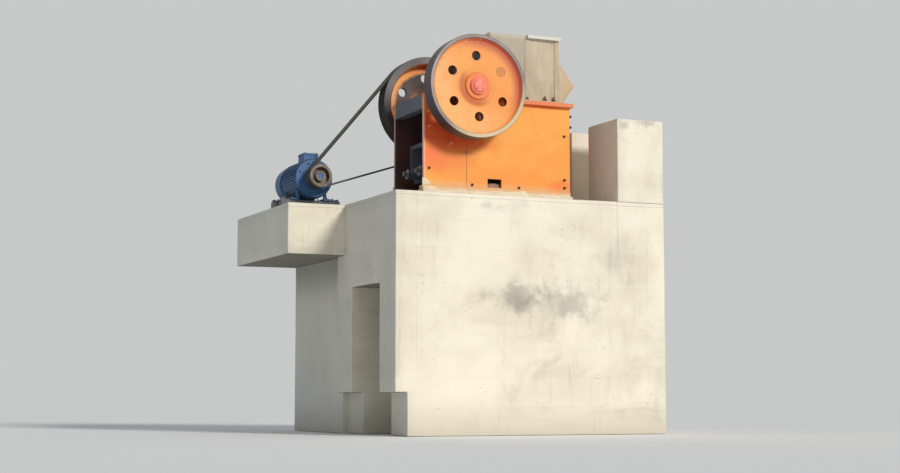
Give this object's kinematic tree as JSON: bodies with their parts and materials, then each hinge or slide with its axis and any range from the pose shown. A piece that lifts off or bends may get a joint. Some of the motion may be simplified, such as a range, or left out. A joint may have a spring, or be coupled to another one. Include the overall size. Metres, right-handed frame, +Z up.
{
  "type": "jaw crusher on a concrete foundation",
  "caption": "Toggle jaw crusher with flywheels, belt drive and feed hopper, on a cast concrete foundation with feeder piers and a motor platform.",
  "frame": {"origin": "middle of the whole footprint, on the ground", "axes": "+X along the crusher to its feed end, +Y across it away from the near flywheel, +Z up"},
  "size_m": [5.17, 4.565, 5.855],
  "materials": {
    "concrete": "cast against boards, stained",
    "mortar": "rough trowelled mortar",
    "orange_paint": "worn gloss paint with dust",
    "wheel_paint": "gloss paint on a casting, bare rim",
    "cover_paint": "gloss paint",
    "grey_paint": "dusty paint",
    "hopper_steel": "bare steel sheet under stone dust",
    "jaw_steel": "manganese steel casting, rubbed",
    "cast_steel": "dirty casting",
    "rod_steel": "oily turned bar",
    "spring_steel": "painted spring wire",
    "shaft_steel": "turned and greased",
    "belt_rubber": "dusty black rubber",
    "motor_paint": "dusty paint on ribbed iron"
  },
  "bodies": {
    "root": {"near_wall": "concrete", "far_wall": "concrete", "end_wall": "concrete", "near_head_beam": "concrete", "far_head_beam": "concrete", "rear_head_beam": "concrete", "feed_head_beam": "concrete", "near_feeder_pier": "concrete", "far_feeder_pier": "concrete", "motor_platform": "concrete", "motor_wall": "concrete", "near_mortar_bed": "mortar", "far_mortar_bed": "mortar", "near_side_plate": "orange_paint", "far_side_plate": "orange_paint", "near_top_flange": "orange_paint", "far_top_flange": "orange_paint", "front_wall": "orange_paint", "rear_cross_beam": "grey_paint", "toggle_beam": "grey_paint", "near_cheek_plate": "jaw_steel", "far_cheek_plate": "jaw_steel", "fixed_jaw_plate": "jaw_steel", "swing_jaw": "cast_steel", "swing_jaw_plate": "jaw_steel", "toggle_seat": "cast_steel", "toggle_plate": "cast_steel", "tension_rods": "rod_steel", "tension_springs": "spring_steel", "near_bearing_housing": "orange_paint", "far_bearing_housing": "orange_paint", "v_belts": "belt_rubber", "motor_pulley": "cast_steel", "motor_body": "motor_paint", "motor_fan_cowl": "motor_paint", "motor_rails": "grey_paint", "hopper_near_side": "hopper_steel", "hopper_far_side": "hopper_steel", "hopper_front_lip": "hopper_steel", "hopper_rear_sheet": "hopper_steel"},
    "rotor": {"eccentric_shaft": "shaft_steel", "near_flywheel": "wheel_paint", "far_grooved_wheel": "wheel_paint", "near_shaft_cover": "cover_paint", "far_shaft_cover": "cover_paint"}
  },
  "joints": [
    {"name": "flywheel_spin", "type": "hinge", "parent": "root", "child": "rotor", "pos_m": [-0.365, -1.135, 4.95], "axis": [0, 1, 0], "continuous": true}
  ]
}
